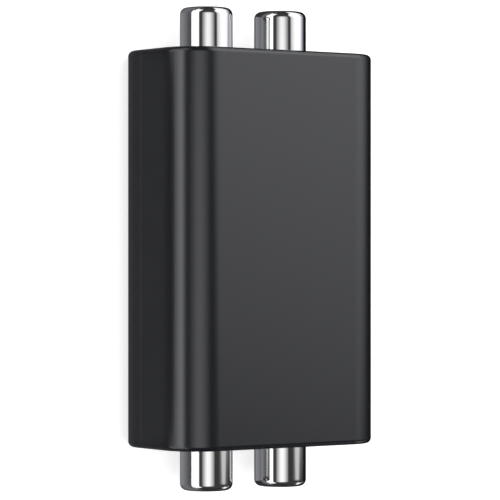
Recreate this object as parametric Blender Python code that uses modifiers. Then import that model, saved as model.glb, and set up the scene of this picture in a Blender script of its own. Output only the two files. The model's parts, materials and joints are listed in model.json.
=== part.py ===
# Two-channel ground loop isolator with four phono jacks, lying on its back.
# X runs across the case, Y along it from the output end to the input end, Z up out of the front face.
# The origin is the middle of the back face.

import math

import bmesh
import bpy
from mathutils import Matrix, Vector

MM = 0.001

# Case
CASE_WIDTH = 38.8 * MM
CASE_LENGTH = 61.8 * MM
CASE_DEPTH = 20.4 * MM
WALL = 1.8 * MM
LONG_EDGE_RADIUS = 6.5 * MM
END_FILLET = 0.8 * MM
JACK_AXIS_HEIGHT = 8.2 * MM
LIP_HEIGHT = 1.2 * MM
RIB_THICKNESS = 1.2 * MM
PILLAR_RADIUS = 2.6 * MM
SEAT_HEIGHT = 0.5 * MM
POST_RADIUS = 1.2 * MM
POST_INSET = 1.5 * MM
SCREW_EDGE_MARGIN = 0.4 * MM

# Fits
FIT = 0.3 * MM
OVERCUT = 1.0 * MM
MERGE_DISTANCE = 0.01 * MM

# Screws
SCREW_RADIUS = 1.1 * MM
SCREW_LENGTH = 9.5 * MM
SCREW_HEAD_RADIUS = 2.0 * MM
SCREW_HEAD_HEIGHT = 0.9 * MM
SCREW_HEAD_CHAMFER = 0.3 * MM
SCREW_POINT_RADIUS = 0.55 * MM
SCREW_RECESS_WIDTH = 0.5 * MM
SCREW_RECESS_REACH = 1.2 * MM
SCREW_RECESS_DEPTH = 0.5 * MM
HEAD_SINK = 0.1 * MM

# Circuit board
BOARD_THICKNESS = 1.2 * MM
LEG_STICKOUT = 0.3 * MM

# Phono jacks
JACK_SPACING = 14.3 * MM
BARREL_RADIUS = 4.15 * MM
BARREL_REACH = 6.95 * MM
BARREL_WALL = 0.4 * MM
RIM_RADIUS = 1.05 * MM
COLLAR_STEP = 0.6 * MM
COLLAR_THICKNESS = 1.0 * MM
BODY_LENGTH = 6.0 * MM
BODY_SIDE_STEP = 0.45 * MM
BODY_RISE = 4.5 * MM
BODY_EDGE = 0.3 * MM
NOSE_CHAMFER = 0.6 * MM
PIN_BORE_RADIUS = 1.75 * MM
SOCKET_RADIUS = 2.1 * MM
SOCKET_WALL = 0.4 * MM
SOCKET_SETBACK = 1.2 * MM
STRIP_THICKNESS = 0.5 * MM
STRIP_WIDTH = 3.0 * MM
STRIP_RUN = 4.0 * MM
LEG_WIDTH = 1.2 * MM

# Audio transformers
STACK_THICKNESS = 5.0 * MM
CENTRE_LEG = 4.2 * MM
SIDE_LEG = 2.0 * MM
WINDOW = 3.1 * MM
YOKE = 2.0 * MM
BOBBIN_WALL = 0.5 * MM
FLANGE_THICKNESS = 0.6 * MM
FLANGE_OVERHANG = 0.6 * MM
WINDING_BUILD = 1.1 * MM
TAPE_THICKNESS = 0.3 * MM
FRAME_THICKNESS = 0.5 * MM
TAB_WIDTH = 1.6 * MM
HEADROOM = 1.5 * MM
PIN_RADIUS = 0.3 * MM
PIN_PITCH = 5.0 * MM
PIN_GRIP = 2.0 * MM

# Facets
LONG_EDGE_STEPS = 8
FILLET_STEPS = 3
RIM_STEPS = 5
BEND_STEPS = 2
CORNER_STEPS = 3
ROUND_STEPS = 32
PILLAR_STEPS = 24
SMALL_ROUND_STEPS = 16
HOLE_STEPS = 12
PIN_STEPS = 8
SHARP_DEGREES = 30
FILLET_LEAST_DEGREES = 60

# Heights worked out from the back face up
BOARD_BOTTOM = WALL + SEAT_HEIGHT + FIT
BOARD_TOP = BOARD_BOTTOM + BOARD_THICKNESS
PARTS_FLOOR = BOARD_TOP + FIT
LEG_BOTTOM = BOARD_BOTTOM - LEG_STICKOUT
CEILING = CASE_DEPTH - WALL
LIP_WIDTH = (WALL - FIT) / 2

# Places along a jack, measured outward from the middle of the case
WALL_OUTSIDE = CASE_LENGTH / 2
WALL_INSIDE = WALL_OUTSIDE - WALL
BARREL_TIP = WALL_OUTSIDE + BARREL_REACH
COLLAR_OUTSIDE = WALL_INSIDE - FIT
COLLAR_INSIDE = COLLAR_OUTSIDE - COLLAR_THICKNESS
STRIP_OUTSIDE = COLLAR_INSIDE - FIT
BODY_OUTSIDE = STRIP_OUTSIDE - STRIP_THICKNESS - FIT
BODY_INSIDE = BODY_OUTSIDE - BODY_LENGTH
JACK_INSIDE = BODY_INSIDE - FIT - STRIP_THICKNESS

# Jack sections
BARREL_BORE = BARREL_RADIUS - BARREL_WALL
COLLAR_RADIUS = BARREL_RADIUS + COLLAR_STEP
NOSE_RADIUS = BARREL_BORE - FIT
NOSE_TIP = BARREL_TIP - BARREL_WALL - FIT
BODY_HALF_WIDTH = BARREL_RADIUS + BODY_SIDE_STEP

# Transformer heights and half widths
FRAME_TOP = CEILING - HEADROOM
YOKE_TOP = FRAME_TOP - FRAME_THICKNESS - FIT
YOKE_BOTTOM = YOKE_TOP - YOKE
BAR_BOTTOM = PARTS_FLOOR + FIT
BAR_TOP = BAR_BOTTOM + YOKE
LEG_END = BAR_TOP + FIT
CORE_HALF = CENTRE_LEG / 2 + WINDOW + SIDE_LEG
FLANGE_HALF_Y = CENTRE_LEG / 2 + WINDOW - FIT
TUBE_HALF_X = STACK_THICKNESS / 2 + FIT + BOBBIN_WALL
TUBE_HALF_Y = CENTRE_LEG / 2 + FIT + BOBBIN_WALL
COIL_GROWTH = FIT + WINDING_BUILD + FIT + TAPE_THICKNESS
FLANGE_HALF_X = TUBE_HALF_X + COIL_GROWTH + FLANGE_OVERHANG
FRAME_HALF = CORE_HALF + FIT + FRAME_THICKNESS
FOOT_INSIDE = STACK_THICKNESS / 2 + FIT
PIN_X = (FOOT_INSIDE + FLANGE_HALF_X) / 2

# Board outline and the places of what it carries
CORNER_CENTRE = CASE_WIDTH / 2 - LONG_EDGE_RADIUS
INNER_CORNER = LONG_EDGE_RADIUS - WALL
CORNER_DROP = LONG_EDGE_RADIUS - BOARD_BOTTOM
BOARD_HALF_WIDTH = CORNER_CENTRE + math.sqrt(INNER_CORNER ** 2 - CORNER_DROP ** 2) - FIT
TRANSFORMER_X = BOARD_HALF_WIDTH / 2
SCREW_X = CORNER_CENTRE - SCREW_HEAD_RADIUS - FIT - SCREW_EDGE_MARGIN
SCREW_Y = (FRAME_HALF + JACK_INSIDE) / 2
RECESS_TOP = HEAD_SINK + SCREW_HEAD_HEIGHT + FIT

CHANNELS = {"left": -1, "right": 1}
ENDS = {"input": 0.0, "output": math.pi}


def clear_scene():
    for thing in list(bpy.data.objects):
        bpy.data.objects.remove(thing, do_unlink=True)


def new_collection(name):
    group = bpy.data.collections.new(name)
    bpy.context.scene.collection.children.link(group)
    return group


def make_material(name, colour, roughness, metallic=0.0):
    material = bpy.data.materials.new(name)
    material.use_nodes = True
    shader = material.node_tree.nodes["Principled BSDF"]
    shader.inputs["Base Color"].default_value = (*colour, 1.0)
    shader.inputs["Roughness"].default_value = roughness
    shader.inputs["Metallic"].default_value = metallic
    material.diffuse_color = (*colour, 1.0)
    return material


def put(name, data, group, material=None):
    piece = bpy.data.objects.new(name, data)
    group.objects.link(piece)
    if material:
        data.materials.append(material)
    return piece


def as_cutter(piece):
    piece.hide_render = True
    piece.display_type = "WIRE"
    return piece


def box_in(bm, low, high):
    """Adds a box between two corners."""
    low = Vector(low)
    high = Vector(high)
    frame = Matrix.Translation((low + high) / 2) @ Matrix.Diagonal((*(high - low), 1.0))
    bmesh.ops.create_cube(bm, size=1.0, matrix=frame)


def rod_in(bm, radius, start, end, steps):
    """Adds a solid rod between two points on one line along X, Y or Z."""
    start = Vector(start)
    end = Vector(end)
    turn = (end - start).to_track_quat("Z", "Y").to_matrix().to_4x4()
    frame = Matrix.Translation((start + end) / 2) @ turn
    bmesh.ops.create_cone(
        bm, cap_ends=True, segments=steps, radius1=radius, radius2=radius,
        depth=(end - start).length, matrix=frame)


def mesh_from(name, bm):
    mesh = bpy.data.meshes.new(name)
    bm.to_mesh(mesh)
    bm.free()
    return mesh


def solid(name, group, material=None, boxes=(), rods=(), steps=SMALL_ROUND_STEPS):
    bm = bmesh.new()
    for low, high in boxes:
        box_in(bm, low, high)
    for radius, start, end in rods:
        rod_in(bm, radius, start, end, steps)
    return put(name, mesh_from(name, bm), group, material)


def combine(piece, other, operation):
    change = piece.modifiers.new(f"{operation.title()} {other.name}", "BOOLEAN")
    change.operation = operation
    change.solver = "EXACT"
    change.object = other


def turned(name, profile, steps, group, material=None):
    """Turns a closed section round Z. The section is (radius, height) points, outer side first, top down."""
    mesh = bpy.data.meshes.new(name)
    points = [(radius, 0.0, height) for radius, height in profile]
    edges = [(i, i + 1) for i in range(len(points) - 1)]
    if min(radius for radius, _ in profile) > 0.0:
        edges.append((len(points) - 1, 0))
    mesh.from_pydata(points, edges, [])
    piece = put(name, mesh, group, material)
    screw = piece.modifiers.new("Turn", "SCREW")
    screw.steps = steps
    screw.render_steps = steps
    screw.use_merge_vertices = True
    screw.merge_threshold = MERGE_DISTANCE
    screw.use_smooth_shade = True
    return piece


def arc(centre, radius, start, end, steps):
    """Points of an arc in a section, with the angles in degrees from the outward direction."""
    angles = [math.radians(start + (end - start) * i / steps) for i in range(steps + 1)]
    return [(centre[0] + radius * math.cos(a), centre[1] + radius * math.sin(a)) for a in angles]


def flat_outline(name, loops, thickness, group, material):
    """Extrudes closed outlines both ways from their plane. A loop inside another is a hole."""
    curve = bpy.data.curves.new(name, "CURVE")
    curve.dimensions = "2D"
    curve.fill_mode = "BOTH"
    curve.extrude = thickness / 2
    curve.render_resolution_u = 0
    for loop in loops:
        spline = curve.splines.new("POLY")
        spline.points.add(len(loop) - 1)
        for point, (x, y) in zip(spline.points, loop):
            point.co = (x, y, 0.0, 1.0)
        spline.use_cyclic_u = True
    return put(name, curve, group, material)


def rounded_loop(half_x, half_y, radius):
    """A rectangle with round corners, point by point, anticlockwise."""
    points = []
    for quarter, (sx, sy) in enumerate(((1, 1), (-1, 1), (-1, -1), (1, -1))):
        centre = (sx * (half_x - radius), sy * (half_y - radius))
        points += arc(centre, radius, 90 * quarter, 90 * quarter + 90, CORNER_STEPS)
    return points


def rounded_bar(name, low, high, radius, group, material=None):
    """A box whose four edges along Y are rounded."""
    bm = bmesh.new()
    box_in(bm, low, high)
    weights = bm.edges.layers.float.new("bevel_weight_edge")
    for edge in bm.edges:
        along = edge.verts[0].co - edge.verts[1].co
        edge[weights] = 1.0 if abs(along.y) > max(abs(along.x), abs(along.z)) else 0.0
    piece = put(name, mesh_from(name, bm), group, material)
    rounding = piece.modifiers.new("Long edges", "BEVEL")
    rounding.limit_method = "WEIGHT"
    rounding.width = radius
    rounding.segments = LONG_EDGE_STEPS
    rounding.use_clamp_overlap = False
    return piece


def case_block(name, group, material):
    half_width = CASE_WIDTH / 2
    half_length = CASE_LENGTH / 2
    block = rounded_bar(
        name, (-half_width, -half_length, 0.0), (half_width, half_length, CASE_DEPTH),
        LONG_EDGE_RADIUS, group, material)
    rim = block.modifiers.new("End fillets", "BEVEL")
    rim.limit_method = "ANGLE"
    rim.angle_limit = math.radians(FILLET_LEAST_DEGREES)
    rim.width = END_FILLET
    rim.segments = FILLET_STEPS
    return block


def cavity(name, group):
    """The hollow of the closed case."""
    half_width = CASE_WIDTH / 2 - WALL
    half_length = CASE_LENGTH / 2 - WALL
    low = (-half_width, -half_length, WALL)
    return as_cutter(rounded_bar(name, low, (half_width, half_length, CEILING), INNER_CORNER, group))


def lip_block(name, growth, bottom, top, group):
    """A box as wide and long as the cavity and grown on every side, for the lip or its rebate."""
    half_width = CASE_WIDTH / 2 - WALL + growth
    half_length = CASE_LENGTH / 2 - WALL + growth
    low = (-half_width, -half_length, bottom)
    return as_cutter(solid(name, group, boxes=[(low, (half_width, half_length, top))]))


def screw_places():
    return [(sx * SCREW_X, sy * SCREW_Y) for sy in (1, -1) for sx in (-1, 1)]


def jack_bores(name, group):
    """A rod through the end wall for each jack."""
    start = Vector((0.0, WALL_INSIDE - OVERCUT, JACK_AXIS_HEIGHT))
    end = Vector((0.0, WALL_OUTSIDE + OVERCUT, JACK_AXIS_HEIGHT))
    rods = [(BARREL_RADIUS + FIT, frame @ start, frame @ end) for frame in jack_frames().values()]
    return as_cutter(solid(name, group, rods=rods, steps=ROUND_STEPS))


def wide_slab(name, bottom, top, group):
    reach_x = CASE_WIDTH / 2 + OVERCUT
    reach_y = CASE_LENGTH / 2 + OVERCUT
    return as_cutter(solid(name, group, boxes=[((-reach_x, -reach_y, bottom), (reach_x, reach_y, top))]))


def front_shell(parts, cutters, material):
    shell = case_block("front_shell", parts, material)
    edge = JACK_AXIS_HEIGHT + FIT / 2
    combine(shell, wide_slab("front_keep_clear", -OVERCUT, edge, cutters), "DIFFERENCE")
    combine(shell, cavity("front_cavity", cutters), "DIFFERENCE")
    rebate = lip_block("front_rebate", LIP_WIDTH + FIT, edge - OVERCUT, edge + LIP_HEIGHT, cutters)
    combine(shell, rebate, "DIFFERENCE")
    pillars = [(PILLAR_RADIUS, (x, y, PARTS_FLOOR), (x, y, CEILING + WALL / 2)) for x, y in screw_places()]
    combine(shell, as_cutter(solid("front_pillars", cutters, rods=pillars, steps=PILLAR_STEPS)), "UNION")
    combine(shell, hold_down_ribs(cutters), "UNION")
    depth = HEAD_SINK + SCREW_HEAD_HEIGHT + SCREW_LENGTH + OVERCUT
    bores = [(SCREW_RADIUS + FIT, (x, y, PARTS_FLOOR - OVERCUT), (x, y, depth)) for x, y in screw_places()]
    combine(shell, as_cutter(solid("front_bores", cutters, rods=bores)), "DIFFERENCE")
    combine(shell, jack_bores("front_jack_bores", cutters), "DIFFERENCE")
    return shell


def hold_down_ribs(cutters):
    """Two cross ribs over the jack bodies and two short ones over the transformers."""
    boxes = []
    half_run = JACK_SPACING / 2 + BODY_HALF_WIDTH
    rib_y = (BODY_OUTSIDE + BODY_INSIDE) / 2
    for end in (1, -1):
        low = (-half_run, end * rib_y - RIB_THICKNESS / 2, JACK_AXIS_HEIGHT + BODY_RISE + FIT)
        high = (half_run, end * rib_y + RIB_THICKNESS / 2, CEILING + WALL / 2)
        boxes.append((low, high))
    for side in CHANNELS.values():
        x = side * TRANSFORMER_X
        low = (x - RIB_THICKNESS / 2, -FRAME_HALF, FRAME_TOP + FIT)
        high = (x + RIB_THICKNESS / 2, FRAME_HALF, CEILING + WALL / 2)
        boxes.append((low, high))
    return as_cutter(solid("front_ribs", cutters, boxes=boxes))


def rear_shell(parts, cutters, material):
    shell = case_block("rear_shell", parts, material)
    edge = JACK_AXIS_HEIGHT - FIT / 2
    combine(shell, wide_slab("rear_keep_clear", edge, CASE_DEPTH + OVERCUT, cutters), "DIFFERENCE")
    lip = lip_block("rear_lip", LIP_WIDTH, edge - OVERCUT, edge + LIP_HEIGHT, cutters)
    combine(shell, lip, "UNION")
    combine(shell, cavity("rear_cavity", cutters), "DIFFERENCE")
    seat_top = BOARD_BOTTOM - FIT
    seats = [(PILLAR_RADIUS, (x, y, WALL / 2), (x, y, seat_top)) for x, y in screw_places()]
    combine(shell, as_cutter(solid("rear_seats", cutters, rods=seats, steps=PILLAR_STEPS)), "UNION")
    post_x = BOARD_HALF_WIDTH - POST_INSET
    post_y = BODY_OUTSIDE - POST_INSET
    corners = [(sx * post_x, sy * post_y) for sx in (-1, 1) for sy in (-1, 1)]
    posts = [(POST_RADIUS, (x, y, WALL / 2), (x, y, seat_top)) for x, y in corners]
    combine(shell, as_cutter(solid("rear_posts", cutters, rods=posts)), "UNION")
    recesses = [(SCREW_HEAD_RADIUS + FIT, (x, y, -OVERCUT), (x, y, RECESS_TOP)) for x, y in screw_places()]
    sinks = as_cutter(solid("rear_recesses", cutters, rods=recesses, steps=PILLAR_STEPS))
    combine(shell, sinks, "DIFFERENCE")
    bores = [(SCREW_RADIUS + FIT, (x, y, 0.0), (x, y, seat_top + OVERCUT)) for x, y in screw_places()]
    combine(shell, as_cutter(solid("rear_bores", cutters, rods=bores)), "DIFFERENCE")
    combine(shell, jack_bores("rear_jack_bores", cutters), "DIFFERENCE")
    return shell


def case_screws(parts, cutters, material):
    head_top = SCREW_HEAD_HEIGHT
    edge = head_top - SCREW_HEAD_CHAMFER
    tip = -SCREW_LENGTH
    profile = [(0.0, head_top), (SCREW_HEAD_RADIUS - SCREW_HEAD_CHAMFER, head_top)]
    profile += [(SCREW_HEAD_RADIUS, edge), (SCREW_HEAD_RADIUS, 0.0), (SCREW_RADIUS, 0.0)]
    profile += [(SCREW_RADIUS, tip + SCREW_RADIUS), (SCREW_POINT_RADIUS, tip), (0.0, tip)]
    half = SCREW_RECESS_WIDTH / 2
    floor = HEAD_SINK + SCREW_RECESS_DEPTH
    slots = {"along": (half, SCREW_RECESS_REACH), "across": (SCREW_RECESS_REACH, half)}
    for number, (x, y) in enumerate(screw_places(), 1):
        screw = turned(f"case_screw_{number}", profile, SMALL_ROUND_STEPS, parts, material)
        screw.location = (x, y, HEAD_SINK + SCREW_HEAD_HEIGHT)
        screw.rotation_euler = (math.pi, 0.0, 0.0)
        for way, (reach_x, reach_y) in slots.items():
            low = (x - reach_x, y - reach_y, -OVERCUT)
            high = (x + reach_x, y + reach_y, floor)
            slot = solid(f"screw_{number}_recess_{way}", cutters, boxes=[(low, high)])
            combine(screw, as_cutter(slot), "DIFFERENCE")


def jack_frames():
    """The name and placing of each jack. A jack is built along +Y, with X measured from its axis."""
    frames = {}
    for end, turn in ENDS.items():
        for channel, side in CHANNELS.items():
            shift = Matrix.Translation((side * JACK_SPACING / 2, 0.0, 0.0))
            frames[f"{end}_{channel}"] = shift @ Matrix.Rotation(turn, 4, "Z")
    return frames


def barrel(name, frame, parts, material):
    """Drawn sleeve: its rim turns inward round the mouth, and its collar sits behind the end wall."""
    mouth = BARREL_RADIUS - RIM_RADIUS
    centre = (mouth, BARREL_TIP - RIM_RADIUS)
    inner_round = RIM_RADIUS - BARREL_WALL
    profile = arc(centre, RIM_RADIUS, 90, 0, RIM_STEPS)
    profile += [(BARREL_RADIUS, COLLAR_OUTSIDE), (COLLAR_RADIUS, COLLAR_OUTSIDE)]
    profile += [(COLLAR_RADIUS, COLLAR_INSIDE), (BARREL_BORE, COLLAR_INSIDE)]
    profile += arc(centre, inner_round, 0, 90, RIM_STEPS)
    sleeve = turned(f"{name}_barrel", profile, ROUND_STEPS, parts, material)
    sleeve.matrix_world = frame @ jack_axis()
    return sleeve


def jack_axis():
    """Takes a turned piece's Z axis to the jack axis."""
    return Matrix.Translation((0.0, 0.0, JACK_AXIS_HEIGHT)) @ Matrix.Rotation(-math.pi / 2, 4, "X")


def jack_body(name, frame, parts, cutters, material):
    """Moulded insulator: a block behind the collar and a round nose that fills the barrel."""
    low = (-BODY_HALF_WIDTH, BODY_INSIDE, PARTS_FLOOR)
    high = (BODY_HALF_WIDTH, BODY_OUTSIDE, JACK_AXIS_HEIGHT + BODY_RISE)
    body = solid(f"{name}_body", parts, material, boxes=[(low, high)])
    body.matrix_world = frame
    edges = body.modifiers.new("Edges", "BEVEL")
    edges.width = BODY_EDGE
    edges.segments = BEND_STEPS
    start = BODY_OUTSIDE - OVERCUT
    nose_profile = [(0.0, NOSE_TIP), (NOSE_RADIUS - NOSE_CHAMFER, NOSE_TIP)]
    nose_profile += [(NOSE_RADIUS, NOSE_TIP - NOSE_CHAMFER), (NOSE_RADIUS, start), (0.0, start)]
    nose = as_cutter(turned(f"{name}_nose", nose_profile, ROUND_STEPS, cutters))
    nose.matrix_world = frame @ jack_axis()
    combine(body, nose, "UNION")
    wide = SOCKET_RADIUS + FIT
    step = NOSE_TIP - SOCKET_SETBACK
    bore_profile = [(0.0, NOSE_TIP + OVERCUT), (PIN_BORE_RADIUS, NOSE_TIP + OVERCUT), (PIN_BORE_RADIUS, step)]
    bore_profile += [(wide, step), (wide, BODY_INSIDE - OVERCUT), (0.0, BODY_INSIDE - OVERCUT)]
    bore = as_cutter(turned(f"{name}_bore", bore_profile, SMALL_ROUND_STEPS, cutters))
    bore.matrix_world = frame @ jack_axis()
    combine(body, bore, "DIFFERENCE")
    return body


def centre_contact(name, frame, parts, cutters, material):
    """Socket tube for the plug's pin, with a leg that drops through the board behind the body."""
    front = NOSE_TIP - SOCKET_SETBACK - FIT
    back = JACK_INSIDE + STRIP_THICKNESS / 2
    inner = SOCKET_RADIUS - SOCKET_WALL
    profile = [(SOCKET_RADIUS, front), (SOCKET_RADIUS, back), (inner, back), (inner, front)]
    contact = turned(f"{name}_centre_contact", profile, SMALL_ROUND_STEPS, parts, material)
    contact.matrix_world = frame @ jack_axis()
    half = LEG_WIDTH / 2
    boxes = [((-half, JACK_INSIDE, LEG_BOTTOM), (half, JACK_INSIDE + STRIP_THICKNESS, JACK_AXIS_HEIGHT))]
    leg = as_cutter(solid(f"{name}_centre_leg", cutters, boxes=boxes))
    leg.matrix_world = frame
    combine(contact, leg, "UNION")
    return contact


def bent_strip(name, path, rise, thickness, frame, parts, material):
    """Sheet strip: an open surface along a path, swept straight by rise, then given its thickness."""
    bm = bmesh.new()
    lower = [bm.verts.new(point) for point in path]
    edges = [bm.edges.new(pair) for pair in zip(lower, lower[1:])]
    swept = bmesh.ops.extrude_edge_only(bm, edges=edges)["geom"]
    upper = [part for part in swept if isinstance(part, bmesh.types.BMVert)]
    bmesh.ops.translate(bm, verts=upper, vec=rise)
    strip = put(name, mesh_from(name, bm), parts, material)
    strip.matrix_world = frame
    bends = strip.modifiers.new("Bends", "BEVEL")
    bends.width = thickness
    bends.segments = BEND_STEPS
    sheet = strip.modifiers.new("Sheet", "SOLIDIFY")
    sheet.thickness = thickness
    sheet.offset = 0.0
    sheet.use_even_offset = True
    return strip


def ground_contact(name, frame, parts, cutters, material):
    """Spring strip: a tab behind the collar, a run along the body's side and a leg through the board."""
    middle = STRIP_OUTSIDE - STRIP_THICKNESS / 2
    side = BODY_HALF_WIDTH + FIT + STRIP_THICKNESS / 2
    low = JACK_AXIS_HEIGHT - STRIP_WIDTH / 2
    path = [(NOSE_RADIUS + FIT, middle, low), (side, middle, low), (side, middle - STRIP_RUN, low)]
    strip = bent_strip(
        f"{name}_ground_contact", path, (0.0, 0.0, STRIP_WIDTH), STRIP_THICKNESS, frame, parts, material)
    half = STRIP_THICKNESS / 2
    end = middle - STRIP_RUN
    boxes = [((side - half, end, LEG_BOTTOM), (side + half, end + LEG_WIDTH, JACK_AXIS_HEIGHT))]
    leg = as_cutter(solid(f"{name}_ground_leg", cutters, boxes=boxes))
    leg.matrix_world = frame
    combine(strip, leg, "UNION")
    return strip


def core_e(name, place, parts, material):
    """E stack seen along X: the back is the top yoke, and three legs point down."""
    leg = CENTRE_LEG / 2
    inner = leg + WINDOW
    half = [(leg, LEG_END), (leg, YOKE_BOTTOM), (inner, YOKE_BOTTOM)]
    half += [(inner, LEG_END), (CORE_HALF, LEG_END), (CORE_HALF, YOKE_TOP)]
    outline = half + [(-y, z) for y, z in reversed(half)]
    stack = flat_outline(f"{name}_core_e", [outline], STACK_THICKNESS, parts, material)
    upright = Matrix(((0, 0, 1, 0), (1, 0, 0, 0), (0, 1, 0, 0), (0, 0, 0, 1)))
    stack.matrix_world = place @ upright
    return stack


def core_i(name, place, parts, material):
    half = STACK_THICKNESS / 2
    boxes = [((-half, -CORE_HALF, BAR_BOTTOM), (half, CORE_HALF, BAR_TOP))]
    bar = solid(f"{name}_core_i", parts, material, boxes=boxes)
    bar.matrix_world = place
    return bar


def chamber_heights():
    """Bottom and top of the two winding chambers, between the three flanges."""
    low = LEG_END + FLANGE_THICKNESS
    high = YOKE_BOTTOM - FIT - FLANGE_THICKNESS
    middle = (low + high) / 2
    return (low, middle - FLANGE_THICKNESS / 2), (middle + FLANGE_THICKNESS / 2, high)


def bobbin(name, place, parts, cutters, material):
    lower, upper = chamber_heights()
    top = YOKE_BOTTOM - FIT
    tube_low = (-TUBE_HALF_X, -TUBE_HALF_Y, LEG_END)
    former = solid(f"{name}_bobbin", parts, material, boxes=[(tube_low, (TUBE_HALF_X, TUBE_HALF_Y, top))])
    former.matrix_world = place
    levels = ((LEG_END, lower[0]), (lower[1], upper[0]), (upper[1], top))
    flanges = []
    for under, over in levels:
        flanges.append(((-FLANGE_HALF_X, -FLANGE_HALF_Y, under), (FLANGE_HALF_X, FLANGE_HALF_Y, over)))
    rims = as_cutter(solid(f"{name}_flanges", cutters, boxes=flanges))
    rims.matrix_world = place
    combine(former, rims, "UNION")
    feet = []
    foot_top = LEG_END + FLANGE_THICKNESS / 2
    for side in (-1, 1):
        near, far = sorted((side * FOOT_INSIDE, side * FLANGE_HALF_X))
        feet.append(((near, -FLANGE_HALF_Y, PARTS_FLOOR), (far, FLANGE_HALF_Y, foot_top)))
    blocks = as_cutter(solid(f"{name}_feet", cutters, boxes=feet))
    blocks.matrix_world = place
    combine(former, blocks, "UNION")
    hole_x = STACK_THICKNESS / 2 + FIT
    hole_y = CENTRE_LEG / 2 + FIT
    low = (-hole_x, -hole_y, LEG_END - OVERCUT)
    hole = as_cutter(solid(f"{name}_hole", cutters, boxes=[(low, (hole_x, hole_y, top + OVERCUT))]))
    hole.matrix_world = place
    combine(former, hole, "DIFFERENCE")
    bores = []
    for x, y in pin_places():
        bores.append((PIN_RADIUS + FIT, (x, y, PARTS_FLOOR - OVERCUT), (x, y, PARTS_FLOOR + PIN_GRIP + FIT)))
    holes = as_cutter(solid(f"{name}_pin_holes", cutters, rods=bores, steps=HOLE_STEPS))
    holes.matrix_world = place
    combine(former, holes, "DIFFERENCE")
    return former


def pin_places():
    return [(sx * PIN_X, sy * PIN_PITCH / 2) for sx in (-1, 1) for sy in (-1, 1)]


def coil_ring(name, growth, build, levels, place, parts, material):
    """A ring round the bobbin tube, with round corners."""
    inner = rounded_loop(TUBE_HALF_X + growth, TUBE_HALF_Y + growth, growth)
    outer_growth = growth + build
    outer = rounded_loop(TUBE_HALF_X + outer_growth, TUBE_HALF_Y + outer_growth, outer_growth)
    bottom = levels[0] + FIT
    top = levels[1] - FIT
    ring = flat_outline(name, [outer, inner], top - bottom, parts, material)
    ring.matrix_world = place @ Matrix.Translation((0.0, 0.0, (bottom + top) / 2))
    return ring


def frame_clamp(name, place, parts, cutters, material):
    """Bent clamp over the core, with a tab at each foot that passes through the board."""
    reach = FRAME_HALF - FRAME_THICKNESS / 2
    top = FRAME_TOP - FRAME_THICKNESS / 2
    half = STACK_THICKNESS / 2
    corners = ((-reach, PARTS_FLOOR), (-reach, top), (reach, top), (reach, PARTS_FLOOR))
    path = [(-half, y, z) for y, z in corners]
    clamp = bent_strip(
        f"{name}_frame", path, (STACK_THICKNESS, 0.0, 0.0), FRAME_THICKNESS, place, parts, material)
    tabs = []
    for side in (-1, 1):
        ys = (side * reach - FRAME_THICKNESS / 2, side * reach + FRAME_THICKNESS / 2)
        tabs.append(((-TAB_WIDTH / 2, ys[0], LEG_BOTTOM), (TAB_WIDTH / 2, ys[1], BAR_TOP)))
    feet = as_cutter(solid(f"{name}_tabs", cutters, boxes=tabs))
    feet.matrix_world = place
    combine(clamp, feet, "UNION")
    return clamp


def transformer(channel, side, parts, cutters, looks):
    name = f"{channel}_transformer"
    place = Matrix.Translation((side * TRANSFORMER_X, 0.0, 0.0))
    core_e(name, place, parts, looks["core"])
    core_i(name, place, parts, looks["core"])
    bobbin(name, place, parts, cutters, looks["bobbin"])
    tape_growth = FIT + WINDING_BUILD + FIT
    for coil, levels in zip(("primary", "secondary"), chamber_heights()):
        coil_ring(f"{name}_{coil}_winding", FIT, WINDING_BUILD, levels, place, parts, looks["copper"])
        coil_ring(f"{name}_{coil}_tape", tape_growth, TAPE_THICKNESS, levels, place, parts, looks["tape"])
    frame_clamp(name, place, parts, cutters, looks["tinned"])
    for number, (x, y) in enumerate(pin_places(), 1):
        rods = [(PIN_RADIUS, (x, y, LEG_BOTTOM), (x, y, PARTS_FLOOR + PIN_GRIP))]
        pin = solid(f"{name}_pin_{number}", parts, looks["tinned"], rods=rods, steps=PIN_STEPS)
        pin.matrix_world = place


def circuit_board(parts, cutters, material):
    half_length = BODY_OUTSIDE
    low = (-BOARD_HALF_WIDTH, -half_length, BOARD_BOTTOM)
    board = solid("circuit_board", parts, material, boxes=[(low, (BOARD_HALF_WIDTH, half_length, BOARD_TOP))])
    below = BOARD_BOTTOM - OVERCUT
    above = BOARD_TOP + OVERCUT
    rods = [(SCREW_RADIUS + FIT, (x, y, below), (x, y, above)) for x, y in screw_places()]
    for side in CHANNELS.values():
        for x, y in pin_places():
            x += side * TRANSFORMER_X
            rods.append((PIN_RADIUS + FIT, (x, y, below), (x, y, above)))
    holes = as_cutter(solid("board_holes", cutters, rods=rods, steps=HOLE_STEPS))
    combine(board, holes, "DIFFERENCE")
    slots = as_cutter(solid("board_slots", cutters, boxes=board_slots(below, above)))
    combine(board, slots, "DIFFERENCE")
    return board


def board_slots(below, above):
    """Boxes for the jacks' legs and the transformer clamps' tabs, each with the fit all round."""
    boxes = []
    for side in CHANNELS.values():
        reach = FRAME_HALF - FRAME_THICKNESS / 2
        for end in (-1, 1):
            centre = (side * TRANSFORMER_X, end * reach)
            boxes.append(slot_box(centre, TAB_WIDTH / 2, FRAME_THICKNESS / 2, below, above))
    side_x = BODY_HALF_WIDTH + FIT + STRIP_THICKNESS / 2
    side_y = STRIP_OUTSIDE - STRIP_THICKNESS / 2 - STRIP_RUN + LEG_WIDTH / 2
    back_y = JACK_INSIDE + STRIP_THICKNESS / 2
    for frame in jack_frames().values():
        behind = frame @ Vector((0.0, back_y, 0.0))
        beside = frame @ Vector((side_x, side_y, 0.0))
        boxes.append(slot_box(behind, LEG_WIDTH / 2, STRIP_THICKNESS / 2, below, above))
        boxes.append(slot_box(beside, STRIP_THICKNESS / 2, LEG_WIDTH / 2, below, above))
    return boxes


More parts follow.
